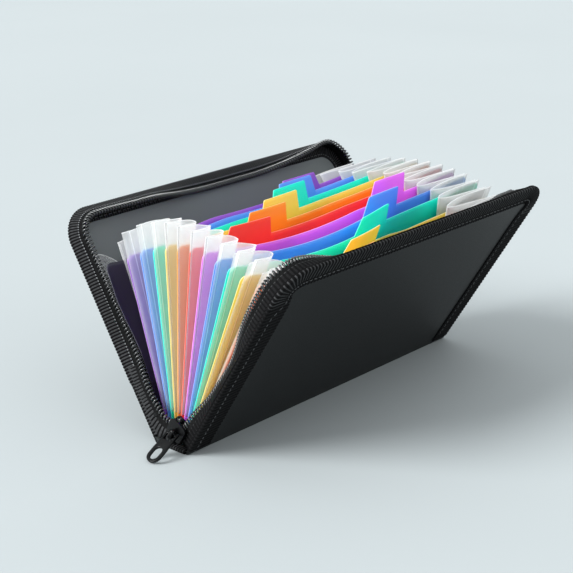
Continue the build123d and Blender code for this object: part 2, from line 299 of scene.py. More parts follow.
def fabric_material(name, low, high, scale, strength):
    """Woven black fabric: thread noise in the colour, a fine cross weave in the bump."""
    shade = Shade(name).put(Roughness=0.8, Specular_IOR_Level=0.08)
    shade.link(shade.ramp(shade.noise(900, 3), low, high), "Base Color")
    weave = {"Vector": shade.coords, "Scale": scale, "Distortion": 0.6}
    first = shade.node("ShaderNodeTexWave", {**weave, "Detail": 1.0})
    second = shade.node("ShaderNodeTexWave", weave, bands_direction="Z")
    threads = {0: first.outputs["Fac"], 1: second.outputs["Fac"]}
    cross = shade.node("ShaderNodeMath", threads, operation="MULTIPLY")
    shade.bump(cross.outputs["Value"], strength, 0.00015)
    return shade.material


def gloss_material(name, colour, roughness, specular, coat):
    """Smooth nylon or enamel with a clear coat and faint scuffs."""
    shade = Shade(name).put(
        Base_Color=colour, Specular_IOR_Level=specular, Coat_Weight=coat, Coat_Roughness=0.1
    )
    shade.link(shade.span(shade.noise(700, 4), roughness - 0.05, roughness + 0.08), "Roughness")
    shade.bump(shade.noise(2600, 2), 0.05, 0.0001)
    return shade.material


def sheet_material(name, colour, through):
    """Coloured plastic sheet that lets some light through."""
    shade = Shade(name).put(Specular_IOR_Level=0.45)
    deep = tuple(c * 0.93 for c in colour[:3]) + (1.0,)
    shade.link(shade.ramp(shade.noise(45, 3), deep, colour), "Base Color")
    shade.link(shade.span(shade.noise(300, 3), 0.36, 0.46), "Roughness")
    shade.bump(shade.noise(2400, 2, vector=shade.stretched((1, 1, 0.25))), 0.04, 0.0001)
    glow = shade.node("ShaderNodeBsdfTranslucent", {"Color": colour})
    shade.finish_mix(through, shade.bsdf, glow)
    return shade.material


def film_material(name, low, high, roughness, pale=0.95):
    """Milky clear film: part see-through, part white haze that is lit from both sides."""
    white = (pale, pale + 0.005, pale + 0.005, 1)
    shade = Shade(name).put(Base_Color=white, Specular_IOR_Level=0.55)
    cloud = shade.noise(110, 2, vector=shade.stretched((1, 1, 0.12)))
    veil = shade.span(cloud, low, high)
    shade.link(veil, "Alpha")
    shade.link(shade.span(cloud, roughness - 0.05, roughness + 0.05), "Roughness")
    shade.bump(cloud, 0.12, 0.0002)
    glow = shade.node("ShaderNodeBsdfTranslucent", {"Color": white})
    clear = shade.node("ShaderNodeBsdfTransparent")
    haze = shade.node("ShaderNodeMixShader", {"Fac": veil})
    shade.tree.links.new(clear.outputs["BSDF"], haze.inputs[1])
    shade.tree.links.new(glow.outputs["BSDF"], haze.inputs[2])
    shade.finish_mix(0.5, shade.bsdf, haze)
    return shade.material


# The lighter second colour is a painted sheen: it covers the covers' inner faces and the spine's upper face,
# for the light those faces catch.
PLASTIC, PAINTED_SHEEN = linear(18, 20, 21), linear(102, 107, 108)
FRONT_PLASTIC = cover_material("cover_plastic", PLASTIC, PAINTED_SHEEN, front.v, 0.4)
BACK_PLASTIC = cover_material("cover_plastic_back", PLASTIC, PAINTED_SHEEN, back.v, 0.4)
SPINE_PLASTIC = cover_material("cover_plastic_spine", PLASTIC, PAINTED_SHEEN, arr(0, 0, 1), 0.4)
# The pocket floor's upper face is painted lighter than the rest, painted light on the face that looks up.
FLOOR_PLASTIC = cover_material("floor_plastic", linear(40, 43, 45), linear(48, 51, 53), arr(0, 0, 1), 0.5)
RIBBON = fabric_material("binding_ribbon", linear(7, 7, 8), linear(12, 12, 13), 520, 0.5)
# The black ribbon painted lighter for the rib crests: painted highlights in three strengths, dim, full and
# brightest at the tips.
RIB_DIM_HIGHLIGHT = fabric_material("binding_rib_flat", linear(18, 18, 19), linear(28, 28, 29), 520, 0.5)
RIB_CREST_HIGHLIGHT = fabric_material("binding_rib", linear(44, 45, 46), linear(62, 63, 64), 520, 0.5)
RIB_TIP_HIGHLIGHT = fabric_material("binding_rib_tip", linear(110, 112, 114), linear(140, 142, 144), 520, 0.5)
THREAD = fabric_material("binding_thread", linear(72, 74, 75), linear(98, 100, 101), 900, 0.6)
TAPE = fabric_material("zipper_tape", linear(12, 12, 13), linear(22, 23, 23), 700, 0.6)
COIL = gloss_material("zipper_coil", linear(46, 47, 48), 0.16, 0.35, 0.9)
METAL = gloss_material("zipper_metal", linear(6, 6, 7), 0.3, 0.2, 0.05)
BLACK_SHEET = sheet_material("sheet_black", linear(34, 30, 46), 0.1)
# The end sheet's cut edges are painted paler, a painted highlight.
BLACK_RIM_HIGHLIGHT = sheet_material("sheet_black_rim", linear(72, 70, 84), 0.1)
FILM = film_material("gusset_film", 0.38, 0.46, 0.22)
# The far film's haze is a greyer white than the near film's, painted shade that dims the film at the far end.
FAR_FILM = film_material("gusset_film_far_shaded", 0.68, 0.76, 0.25, 0.78)
THIN_FILM = film_material("gusset_film_end", 0.18, 0.24, 0.25)
# Whiter film for the weld lines, also laid along the film's top edge as a painted highlight.
WELD = film_material("gusset_weld_and_top_highlight", 0.66, 0.78, 0.2)

# Sheets from back to front, and how much light they let through. Their cut edges are painted paler, a painted
# highlight for light that the clear coloured plastic lets out at its edges.
HUES = {
    "purple": (186, 118, 226),
    "blue": (128, 184, 255),
    "green": (30, 250, 230),
    "yellow": (255, 234, 128),
    "orange": (255, 182, 70),
    "red": (255, 100, 76),
    "magenta": (246, 150, 252),
}
ORDER = [
    "purple", "blue", "green", "yellow", "orange", "red",
    "magenta", "blue", "green", "yellow", "orange", "red",
]
THROUGH = 0.5
RIM_HIGHLIGHT_SHARE = 0.45
SHEETS, RIM_HIGHLIGHTS = {}, {}
for hue, colour in HUES.items():
    SHEETS[hue] = sheet_material("sheet_" + hue, linear(*colour), THROUGH)
for hue, colour in HUES.items():
    RIM_HIGHLIGHTS[hue] = sheet_material("rim_" + hue, linear(*[v + (255 - v) * RIM_HIGHLIGHT_SHARE for v in colour]), THROUGH)

dressed = {
    "front_cover": FRONT_PLASTIC,
    "back_cover": BACK_PLASTIC,
    "spine_panel": SPINE_PLASTIC,
    "pocket_floor": FLOOR_PLASTIC,
    "front_zipper_stops": METAL,
    "back_zipper_stops": METAL,
}
for node, material in dressed.items():
    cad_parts[node].data.materials.clear()
    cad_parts[node].data.materials.append(material)


# Ribbon binding with ribs across it, and its stitches

RIB_PITCH = 1.41
FRONT_RIB_PITCH = 2.0
RIB_STEPS = 6
RIB_HEIGHT = 0.3
SPINE_RIB_HEIGHT = 0.2
RIB_POWER = 0.7
RIB_MIDDLE = 0.65
CREST_LEVEL = 0.6
RIBBON_START = 2.0
RIBBON_FACE = 1.1
SIDE_WIDTH = 12.4
TOP_WIDTH = 9.4
DOUBLED_LIFT = 0.3
BACK_OVERLAP = 27.0
PALE_START = 90.0
SPINE_RIBBON_HALF = 8.2
STITCH_START = 3.5
STITCH_PITCH = 2.8
STITCH_STEPS = 4
STITCH_EDGE = 2.3
SIDE_STITCH = 4.0
INNER_STITCH = 6.3
INNER_STITCH_FACE = 1.04


def ribbon_width(u):
    """Outer width of the ribbon, which narrows along the top."""
    return SIDE_WIDTH + (TOP_WIDTH - SIDE_WIDTH) * near_top(u)


def rib_wave(along, pitch):
    """1 on the crest of a rib and 0 in the valley."""
    return 0.5 + 0.5 * np.cos(2 * math.pi * along / pitch)


def rib_crests(rib):
    """Steps along a ribbed run that lie on a crest."""
    return (rib[:-1] + rib[1:]) / 2 > CREST_LEVEL


def make_ribbon(cover, body, name, overlap, pitch):
    """Grosgrain ribbon folded over three edges; overlap is the height where its doubled end stops."""
    s, x, u, nx, nu = edge_path(RIBBON_START, pitch / RIB_STEPS)
    # Section: distance from the edge as a fixed part and a share of the width, then height off the board
    face = RIBBON_FACE
    edge = [(0, 1, -0.62), (0, 1, -1.0), (-0.4, 1, -face)]
    edge += [(-1.9, 1, -1.08), (-2.3, 1, -0.95), (-2.7, 1, -1.08)]
    flat = [(2.2 - 5.6 * f, f, -face) for f in (1.0, 0.75, 0.5, 0.25, 0.0)]
    arc = np.radians(np.arange(-80, 81, 20))
    fold = [(face - face * math.cos(a), 0, face * math.sin(a)) for a in arc]
    inside = [(d, 0, face) for d in (2.2, 3.8, 5.6)]
    inside += [(6.3, 0, 0.98), (6.8, 0, 1.08), (7.6, 0, 0.95), (7.6, 0, 0.62)]
    under = [(3.0, 0, 0.62), (0.55, 0, 0.6), (0.55, 0, -0.6), (6.0, 0, -0.62)]
    section = np.array(edge + flat + fold + inside + under)
    shown = len(section) - len(under)
    at_rest = np.stack([section[:, 0] + section[:, 1] * SIDE_WIDTH, section[:, 2]], axis=-1)
    around = np.roll(at_rest, -1, axis=0) - np.roll(at_rest, 1, axis=0)
    push = unit(np.stack([around[:, 1], -around[:, 0]], axis=-1))
    weight = np.ones(len(section))
    weight[shown:] = 0
    weight[[0, shown - 1]] = 0
    rib = rib_wave(s, pitch)
    sway = 0.05 * np.sin(s * 0.9) + 0.04 * np.sin(s * 0.37 + 1)
    doubled = np.where((x < 0) & (u < overlap), DOUBLED_LIFT, 0.0)
    lift = (RIB_HEIGHT * (rib**RIB_POWER - RIB_MIDDLE) + doubled)[:, None] * weight
    d = section[:, 0] + section[:, 1] * ribbon_width(u)[:, None] + lift * push[:, 0]
    d = d + sway[:, None] * section[:, 1]
    v = section[:, 2] + lift * push[:, 1]
    points, faces = sweep(cover.at(x[:, None] + d * nx[:, None], u[:, None] + d * nu[:, None], v))
    # Painted highlight on the rib crests: brighter on the back ribbon over the fold and on the front ribbon
    # along the top, dimmer elsewhere
    number, outer = np.arange(len(section)), len(edge) + len(flat)
    pale = (number >= outer - 2) & (number < shown)
    if cover is front:
        pale = (number >= len(edge)) & (number < shown) & (u[:-1, None] > PALE_START)
    kind = np.append((rib_crests(rib)[:, None] * np.where(pale, 2, 1)).ravel(), [0, 0])
    piece = new_piece(name, points, faces, [RIBBON, RIB_DIM_HIGHLIGHT, RIB_CREST_HIGHLIGHT], kind)
    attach(piece, body)
    return piece


def make_stitches(cover, body, name):
    """Short lengths of thread along both edges of the ribbon."""
    s, x, u, nx, nu = edge_path(STITCH_START, STITCH_PITCH / STITCH_STEPS)
    outer = ribbon_width(u) - STITCH_EDGE
    if cover is front:
        # Up the front's left side the seam runs close to the edge
        outer = outer + (SIDE_STITCH - outer) * ease((94 - u) / 12) * (x < 0)
    size = np.array([0.1, 0.22, 0.22, 0.1])
    rise = np.array([-0.12, 0.1, 0.1, -0.12])
    turn = np.linspace(0, 2 * math.pi, 7)[:-1]
    parts = []
    for inset, face in ((outer, -RIBBON_FACE), (np.full_like(u, INNER_STITCH), INNER_STITCH_FACE)):
        for first in range(0, len(s) - STITCH_STEPS, STITCH_STEPS):
            span = slice(first, first + STITCH_STEPS)
            px, pu = x[span] + inset[span] * nx[span], u[span] + inset[span] * nu[span]
            middle = cover.at(px, pu, face + rise * np.sign(face))
            side = cover.way(nx[span], nu[span])
            ring = middle[:, None] + size[:, None, None] * (
                np.cos(turn)[None, :, None] * side[:, None] + np.sin(turn)[None, :, None] * cover.v
            )
            parts.append(sweep(ring))
    piece = new_piece(name, *join_parts(parts), [THREAD])
    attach(piece, body)


def make_spine_ribbon(side, name):
    """Ribbon over an end of the spine, between the two covers' ribbons."""
    y = np.arange(-SPINE_RIBBON_HALF, SPINE_RIBBON_HALF + 0.01, RIB_PITCH / RIB_STEPS)
    rib = rib_wave(y, RIB_PITCH)
    lift = (SPINE_RIB_HEIGHT * (rib**RIB_POWER - RIB_MIDDLE))[:, None]
    # Section as x and z from the spine's foot round its end to the top, and how far the ribs push each point
    outline = [(93.05, 0.08), (93.5, 0.1), (93.6, 0.6), (93.5, 1.3), (93.0, 1.65), (91.0, 1.7), (88.4, 1.7)]
    push = np.array([(0, 0), (1, 0), (1, 0), (0.8, 0.6), (0.3, 1), (0, 1), (0, 0.3)])
    under = np.array([(88.4, 1.25), (93.05, 1.25)])
    ribbed = np.array(outline) + lift[..., None] * push
    out = np.concatenate([ribbed, np.broadcast_to(under, (len(y), 2, 2))], axis=1)
    rows = np.stack([side * out[..., 0], np.broadcast_to(y[:, None], out.shape[:2]), out[..., 1]], axis=-1)
    points, faces = sweep(rows)
    # Rib crests get the painted crest highlight.
    crest = np.repeat(rib_crests(rib), out.shape[1])
    piece = new_piece(name, points, faces, [RIBBON, RIB_CREST_HIGHLIGHT], np.append(crest, [0, 0]))
    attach(piece, "spine")


make_spine_ribbon(-1, "spine_ribbon_left")
make_spine_ribbon(1, "spine_ribbon_right")
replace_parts(make_ribbon(front, "front_cover", "front_ribbon", 0.0, FRONT_RIB_PITCH), "front_binding")
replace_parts(make_ribbon(back, "back_cover", "back_ribbon", BACK_OVERLAP, RIB_PITCH), "back_binding")
make_stitches(front, "front_cover", "front_stitches")
make_stitches(back, "back_cover", "back_stitches")


# Zipper tape and coil

COIL_PITCH = 1.65
COIL_STEPS = 10
COIL_WIRE = 0.46
COIL_OUT = 1.2
COIL_FLANK = 0.85
COIL_SHIFT = 0.14
COIL_REACH = 6.5
TAPE_REACH = 5.4
LIP_REACH = 3.6
LIP_PHASE = 0.6
ROW_INSET = 1.0
ROW_FACE = 1.0
ROW_START = 2.6
ROW_STEP = 1.0
CROSS_START = 34.0
CROSS_STEPS = 40
CROSS_HALF = 0.25
FRONT_LEAN = 8.0
SIDE_LEAN = 36.0
TUCK_LEAN = 76.0
BACK_LEAN = 6.0
BACK_SIDE_LEAN = 24.0
FLAT_LEAN = 78.0


def row_lean(cover, x, u):
    """Lean of the tape towards the pockets along a row, in degrees."""
    ripple = 4 * np.sin(x * 0.09 + u * 0.07) + 2 * np.sin(x * 0.21 - u * 0.13 + 2)
    on_top = near_top(u)
    if cover is front:
        # Tucked in along the top, less before the far corner, and bent in beside the fan
        tucked = ease((x + 85) / 50) * (1 - 0.5 * ease((x - 44) / 22) * ease((80 - x) / 7))
        beside = SIDE_LEAN * ease((u - 6) / 24) * ease((84 - u) / 36) * (x < 0)
        return FRONT_LEAN + ripple + beside + on_top * tucked * TUCK_LEAN
    # Leaning more up the side, and lying flat along the middle of the top
    standing = BACK_LEAN + BACK_SIDE_LEAN * ease((u - 14) / 40)
    flat = ease((x + 62) / 62) * ease((74 - x) / 52) * on_top
    return (standing * ease((84 - x) / 40) + BACK_LEAN + ripple) * (1 - flat) + FLAT_LEAN * flat


def row_frames(cover, start, step):
    """Length along a zipper row, root points, and the directions along and across the tape there."""
    s, x, u, nx, nu = edge_path(start, step, ROW_START)
    lean = np.radians(row_lean(cover, x, u))
    root = cover.at(x + ROW_INSET * nx, u + ROW_INSET * nu, ROW_FACE)
    inward = cover.way(nx, nu)
    reach = np.cos(lean)[:, None] * cover.v + np.sin(lean)[:, None] * inward
    side = np.cos(lean)[:, None] * inward - np.sin(lean)[:, None] * cover.v
    return s, root, reach, side


def tape_rows(root, reach, side):
    """Closed sections of a woven tape, a little thicker along its cord edge."""
    outline = [(0.0, 0.26), (1.5, 0.28), (3.2, 0.24), (4.4, 0.26)]
    outline += [(TAPE_REACH, 0.42), (TAPE_REACH + 0.5, 0.2)]
    loop = outline + [(a, -b) for a, b in outline[::-1]]
    return np.stack([root + a * reach + b * side for a, b in loop], axis=1)


def coil_tube(centre, reach, side):
    """Wire wound round a line of centres."""
    step = np.linalg.norm(np.diff(centre, axis=0), axis=1)
    length = np.concatenate([[0], np.cumsum(step)])
    at = np.linspace(0, length[-1], int(length[-1] / COIL_PITCH * COIL_STEPS))
    turn = 2 * math.pi * at / COIL_PITCH
    # Each turn runs straight out and back, and moves on to the next along the tape
    along = np.clip(at - COIL_SHIFT * COIL_PITCH * np.sin(turn), 0, length[-1])

    def pick(values):
        return np.stack([np.interp(along, length, values[:, i]) for i in range(3)], axis=-1)

    middle, out, flank = pick(centre), unit(pick(reach)), unit(pick(side))
    line = middle + COIL_OUT * np.cos(turn)[:, None] * out + COIL_FLANK * np.sin(turn)[:, None] * flank
    ahead = unit(np.gradient(line, axis=0))
    away = unit(line - middle)
    away = unit(away - ahead * np.sum(away * ahead, axis=1, keepdims=True))
    cross = np.cross(ahead, away)
    ring = np.linspace(0, 2 * math.pi, 6)[:-1]
    rows = line[:, None] + COIL_WIRE * (
        np.cos(ring)[None, :, None] * away[:, None] + np.sin(ring)[None, :, None] * cross[:, None]
    )
    return sweep(rows)


def row_runs(s, start):
    """The run of a row up the left side, and the run over the rest."""
    corner = int(np.searchsorted(s, COVER_HEIGHT - CORNER_RADIUS - start))
    return (slice(0, corner + 1), "_side"), (slice(corner, None), "")


def seat_row_piece(piece, body, ending):
    """Ride a piece of a row on its cover; the run up the side gets a mesh of its own."""
    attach(piece, body)
    if ending:
        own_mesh(piece)


def make_lip(cover, body, name, shades, pitch):
    """Ribbed edge of the ribbon that stands along the foot of the tape; shades are the materials for the
    valleys and for the painted highlights on the crests and their tips.
    """
    s, root, reach, side = row_frames(cover, ROW_START, pitch / RIB_STEPS)
    rib = rib_wave(s + LIP_PHASE, pitch)
    # Section as distance along the tape and off it, how far the ribs push each point, and which painted crest
    # highlight a crest's faces get there
    loop = [(-0.6, 0.52), (0.3, 0.6), (1.3, 0.62), (2.4, 0.62), (3.2, 0.6)]
    loop = np.array(loop + [(LIP_REACH, 0.48), (LIP_REACH, 0.2), (0.0, 0.2)])
    weight = np.array([0.3, 1, 1, 1, 1, 0.6, 0, 0])
    shade = np.array([1, 1, 1, 1, 2, 2, 0, 0])
    out = loop[:, 1] + RIB_HEIGHT * (rib**RIB_POWER - 0.5)[:, None] * weight
    rows = root[:, None] + loop[:, 0][None, :, None] * reach[:, None] - out[..., None] * side[:, None]
    for run, ending in row_runs(s, ROW_START):
        points, faces = sweep(rows[run])
        kind = np.append((rib_crests(rib[run])[:, None] * shade).ravel(), [0, 0])
        piece = new_piece(name + ending, points, faces, shades, kind)
        seat_row_piece(piece, body, ending)


def make_row(cover, body, start):
    """Tape and coil of a cover's zipper row."""
    name = body.split("_")[0]
    s, root, reach, side = row_frames(cover, start, ROW_STEP)
    for run, ending in row_runs(s, start):
        tape = new_piece(name + "_tape" + ending, *sweep(tape_rows(root[run], reach[run], side[run])), [TAPE])
        centre = root[run] + COIL_REACH * reach[run]
        coil = new_piece(name + "_coil" + ending, *coil_tube(centre, reach[run], side[run]), [COIL])
        for piece, part in ((tape, "zipper_tape"), (coil, "zipper_teeth")):
            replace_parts(piece, f"{name}_{part}")
            seat_row_piece(piece, body, ending)


make_lip(front, "front_cover", "front_ribbon_lip", [RIBBON, RIB_DIM_HIGHLIGHT, RIB_CREST_HIGHLIGHT], FRONT_RIB_PITCH)
make_lip(back, "back_cover", "back_ribbon_lip", [RIBBON, RIB_CREST_HIGHLIGHT, RIB_TIP_HIGHLIGHT], RIB_PITCH)
make_row(front, "front_cover", ROW_START)
make_row(back, "back_cover", CROSS_START)


# The back row's lower end, which leaves its cover and crosses over the spine to the slider

def through(points, count):
    """Smooth line through a few points, the same number of steps between each two."""
    points = np.asarray(points, float)
    padded = np.concatenate([[2 * points[0] - points[1]], points, [2 * points[-1] - points[-2]]])
    t = np.linspace(0, 1, count, endpoint=False)[:, None]
    runs = []
    for a, b, c, d in zip(padded, padded[1:], padded[2:], padded[3:]):
        bend, twist = 2 * a - 5 * b + 4 * c - d, 3 * b - a - 3 * c + d
        runs.append(0.5 * (2 * b + (c - a) * t + bend * t**2 + twist * t**3))
    return np.concatenate(runs + [points[-1:]])


def make_crossing():
    """Coil and tape from the back row to the slider's mouth, in two halves that meet over the spine."""
    _, root, reach, _ = row_frames(back, CROSS_START, ROW_STEP)
    edge_x = -COVER_LENGTH / 2 + ROW_INSET
    coil_line = through(
        [
            root[0] + COIL_REACH * reach[0],
            arr(edge_x, 14.2, 25.0),
            arr(edge_x, 8.8, 18.0),
            arr(edge_x, 4.0, 13.4),
            arr(edge_x, -0.8, 12.4),
            front.at(edge_x, 10.2, 10.4),
        ],
        CROSS_STEPS,
    )
    hem_line = through(
        [
            root[0],
            back.at(edge_x, 23.0, 1.0),
            back.at(edge_x, 13.0, 1.0),
            back.at(edge_x, 3.5, 1.2),
            arr(edge_x, 2.0, 2.4),
            arr(edge_x, -3.0, 5.0),
        ],
        CROSS_STEPS,
    )
    out = unit(coil_line - hem_line)
    ahead = unit(np.gradient(coil_line, axis=0))
    flank = unit(np.cross(ahead, out))
    length = np.concatenate([[0], np.cumsum(np.linalg.norm(np.diff(coil_line, axis=0), axis=1))])
    rib = rib_wave(length, RIB_PITCH)
    # Columns from the hem to the coil, and how far the ribs push each one; ribbon comes first, then tape
    share = np.array([0.0, 0.15, 0.3, 0.45, 0.58, 0.62, 0.75, 0.86])
    ribbed = np.array([0.4, 1, 1, 1, 0.8, 0, 0, 0])
    ribbon_columns = np.count_nonzero(ribbed)
    middle = 3 * CROSS_STEPS
    halves = (("back_cover", "spine", 0, middle), ("spine", "front_cover", middle, len(coil_line) - 1))
    for number, (first_body, second_body, first, last) in enumerate(halves, 1):
        run = slice(first, last + 1)
        web = hem_line[run, None] + share[:, None] * (coil_line[run] - hem_line[run])[:, None]
        ribs = RIB_HEIGHT * (rib[run] ** RIB_POWER)[:, None] * ribbed[None, :]
        swell = 0.5 * np.sin(math.pi * share)[None, :] + ribs
        points, faces = thick_sheet(web - swell[..., None] * arr(1, 0, 0), CROSS_HALF)
        column = np.arange(len(share) - 1)
        # Ribbon columns get the painted highlight on their rib crests; the tape columns stay plain.
        kind = np.where(column < ribbon_columns, 1 + rib_crests(rib[run])[:, None], 0).ravel()
        kind = np.concatenate([kind, kind, np.zeros(len(faces) - 2 * len(kind))])
        tape = new_piece(f"crossing_tape_{number}", points, faces, [TAPE, RIBBON, RIB_CREST_HIGHLIGHT], kind)
        coil = new_piece(f"crossing_coil_{number}", *coil_tube(coil_line[run], out[run], flank[run]), [COIL])
        for piece, slot in ((tape, "zipper_tape"), (coil, "zipper_teeth")):
            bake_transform(piece)


make_crossing()


# Sheets from back to front: sheet 0 is the black end sheet, and sheets 1 to 12 are the dividers

SHEET_COUNT = 13
SHEET_HALF = 88.0
SHEET_TOP = 89.0
SHEET_SAG = 4.0
SHEET_CORNER = 3.0
SHEET_PITCH = 1.2
SHEET_Z = 2.4
SHEET_FACE = 0.25
SHOWN_FACE = 0.17
MIDDLE_SHEET = 6
LEAN_SHEET = 4
LEAN_FIRST = 2.4
LEAN_STEP = 3.975
LEAN_GROWTH = 0.33125
SWELL_LENGTH = 100.0
HOLLOW_SHARE = 0.25
BOW_POWER = 1.6
TABS_PER_ROW = 6
TAB_WIDTH = 23.5
TAB_END = 40.6
TAB_PITCH = 13.6
TAB_SPREAD = (0.65, 1.2)
TAB_SPREAD_END = (5, 3)
TAB_ROW_SHIFT = 6.6
TAB_TOP = 94.0
TAB_FLARE = 1.6
TAB_ROUND = 0.8
END_SHEET_TOP = 79.0
END_SHEET_HALF = 92.0
LEFT_DROOP = 8.5
LEFT_DROOP_END = 7
RIGHT_DROOP = 4.5
RIGHT_DROOP_START = 10
TAPE_ROOM = 1.8


def sheet_frame(index):
    """Foot, upward and forward direction and half thickness of a sheet, or of a cover past either end."""
    if index < 0:
        return arr(0, CREASE_Y, CREASE_Z), back.u, back.v, COVER_FACE
    if index >= SHEET_COUNT:
        return arr(0, -CREASE_Y, CREASE_Z), front.u, -front.v, COVER_FACE
    behind = LEAN_SHEET - index
    lean = math.radians(LEAN_FIRST + LEAN_STEP * behind + LEAN_GROWTH * max(0, behind) ** 2)
    up = arr(0, math.sin(lean), math.cos(lean))
    ahead = arr(0, -math.cos(lean), math.sin(lean))
    return arr(0, SHEET_PITCH * (MIDDLE_SHEET - index), SHEET_Z), up, ahead, SHEET_FACE


def sheet_body(index):
    return "back_end_sheet" if index == 0 else f"divider_{index:02d}"


def bow(index, x, height):
    """How far a sheet bulges to the front: a long swell from the left and a slight hollow right of it."""
    if index < 0 or index >= SHEET_COUNT:
        return 0.0 * (x + height)
    share = np.clip(height / SHEET_TOP, 0, 1.2)
    swell = np.sin(math.pi * np.clip((x + SHEET_HALF) / SWELL_LENGTH, 0, 1))
    past = x - (SWELL_LENGTH - SHEET_HALF)
    hollow = np.sin(math.pi * np.clip(past / (2 * SHEET_HALF - SWELL_LENGTH), 0, 1))
    size = min(0.8 + 0.5 * index, 2 + 2 * (SHEET_COUNT - 1 - index))
    return share**BOW_POWER * size * (swell - HOLLOW_SHARE * hollow)


def body_top(index, x):
    """Upper edge of a sheet without its tab: sagging, with round corners; the end sheet is lower."""
    radius = (SHEET_HALF**2 + SHEET_SAG**2) / (2 * SHEET_SAG)
    top = SHEET_TOP - SHEET_SAG + radius - np.sqrt(radius**2 - x**2)
    top = top - round_off(SHEET_HALF - np.abs(x), SHEET_CORNER)
    if index == 0:
        return top * END_SHEET_TOP / SHEET_TOP
    left = LEFT_DROOP * max(0.0, (LEFT_DROOP_END - index) / (LEFT_DROOP_END - 1)) ** 1.7
    right = RIGHT_DROOP if index >= RIGHT_DROOP_START else 0.0
    return top - left * ease((-x - 30) / 58) - right * ease((x + 10) / 40)


def tab_edges(index):
    """x along the top of a sheet's tab from left to right, and along its wider foot."""
    row, place = divmod(index - 1, TABS_PER_ROW)
    half = TAB_WIDTH / 2
    centre = TAB_END + TAB_ROW_SHIFT * row - TAB_PITCH * place - half
    centre = centre - TAB_SPREAD[row] * min(place, TAB_SPREAD_END[row]) ** 2
    corner = np.array([0, 0.05, 0.2, 0.45, 0.8])
    across = np.concatenate([corner - half, np.linspace(2 - half, half - 2, 11), half - corner[::-1]])
    return centre + across, centre + across * (1 + TAB_FLARE / half)


def tab_top(index, tab):
    """Upper edge of a tab with round corners; the first ones are lower in the back row, higher in front."""
    row, place = divmod(index - 1, TABS_PER_ROW)
    lift = max(0.0, 2.5 - 1.25 * place) if row else min(0.0, 0.8 * place - 1.6)
    return TAB_TOP + lift - round_off(np.minimum(tab - tab[0], tab[-1] - tab), TAB_ROUND)


def flat_sheet(index):
    """Points (x, height) and faces of a sheet laid flat, with its tab if it has one."""
    ends = np.array([-SHEET_HALF, -87.9, -87.6, -87.1, -86.4, -85.6, -84.8])
    xs = np.concatenate([ends, np.linspace(-83, 83, 84), -ends[::-1]])
    if index > 0:
        tab, foot = tab_edges(index)
        xs = np.concatenate([xs[xs < foot[0] - 0.4], foot, xs[xs > foot[-1] + 0.4]])
    share = np.concatenate([np.linspace(0, 0.8, 9), np.linspace(0.85, 1, 8)])
    heights = share[:, None] * body_top(index, xs)[None, :]
    points = [np.stack([np.broadcast_to(xs, heights.shape), heights], axis=-1).reshape(-1, 2)]
    number = np.arange(heights.size).reshape(heights.shape)
    quads = [grid_quads(number)]
    if index > 0:
        base = body_top(index, foot)
        rise = np.linspace(0, 1, 7)[1:, None]
        tab_heights = base + rise * (tab_top(index, tab) - base)
        points.append(np.stack([foot + rise * (tab - foot), tab_heights], axis=-1).reshape(-1, 2))
        first = int(np.argmin(np.abs(xs - foot[0])))
        tab_number = heights.size + np.arange(tab_heights.size).reshape(tab_heights.shape)
        quads.append(grid_quads(np.concatenate([number[-1:, first:first + len(tab)], tab_number])))
    return np.concatenate(points), np.concatenate(quads)


def open_edges(quads):
    """Edges that belong to one face only."""
    found = {}
    for a, b in np.concatenate([quads[:, [i, (i + 1) % 4]] for i in range(4)]).tolist():
        if (b, a) in found:
            del found[(b, a)]
        else:
            found[(a, b)] = True
    return list(found)


def make_sheet(index, face_material, rim_highlight_material):
    """Thin closed sheet with its tab, bowed to the front."""
    foot, up, ahead, _ = sheet_frame(index)
    flat, quads = flat_sheet(index)
    x, height = flat[:, 0], flat[:, 1]
    if index == 0:
        x = x * (1 + (END_SHEET_HALF / SHEET_HALF - 1) * ease((height - 35) / 30))
    if index >= SHEET_COUNT - 2:
        # Room for the front row's tape beside the last two sheets
        x = x + np.where(x < 0, TAPE_ROOM * x / -SHEET_HALF, 0.0)
    middle = foot + x[:, None] * arr(1, 0, 0) + height[:, None] * up + bow(index, x, height)[:, None] * ahead
    count = len(flat)
    rim = [[b, a, a + count, b + count] for a, b in open_edges(quads)]
    faces = quads.tolist() + (quads[:, ::-1] + count).tolist() + rim
    # Rim faces take the second material, the painted highlight on the cut edges.
    marks = np.concatenate([np.zeros(2 * len(quads)), np.ones(len(rim))])
    points = np.concatenate([middle + SHOWN_FACE * ahead, middle - SHOWN_FACE * ahead])
    body = sheet_body(index)
    piece = new_piece(body + "_sheet", points, faces, [face_material, rim_highlight_material], marks)
    for polygon in piece.data.polygons:
        if polygon.material_index == 1:
            polygon.use_smooth = False
    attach(piece, body)
    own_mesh(piece)
    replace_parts(piece, body)


make_sheet(0, BLACK_SHEET, BLACK_RIM_HIGHLIGHT)
for number, hue in enumerate(ORDER, 1):
    make_sheet(number, SHEETS[hue], RIM_HIGHLIGHTS[hue])


# Film gussets: pleat i lies between sheets i - 1 and i, where -1 and SHEET_COUNT are the covers

WELD_X = 84.0
FILM_LOW = 12.0
FILM_TOP = 96.0
FAR_FILM_DROP = 5.5
BACK_FILM_DROP = 10.0
FILM_DEPTH = {-1: 12.0, 1: 34.0}
FILM_FOOT_DEPTH = 6.0
FILM_SLACK = 0.8
END_SLACK = 12.0
FILM_FACE = 0.07
FILM_OFF = 0.12
RIM_LINE = 0.45
WELD_LINE = 0.35


def weld_x(wall):
    """Distance of a wall's weld from the middle of the file; the outer sheets show more margin."""
    if wall < 0 or wall >= SHEET_COUNT:
        return WELD_X
    if wall == 0:
        return WELD_X - 3
    return SHEET_HALF - min(6.0, 1.0 + 4.0 * ((wall - 5.5) / 4.5) ** 2)


def wall_top(wall, side):
    """Height of the film on a wall: lower at the far end, and on the last walls at the back."""
    if side > 0:
        return FILM_TOP - FAR_FILM_DROP
    return FILM_TOP - (BACK_FILM_DROP if wall < 0 else 0.6 * max(0, 4 - wall) ** 2)


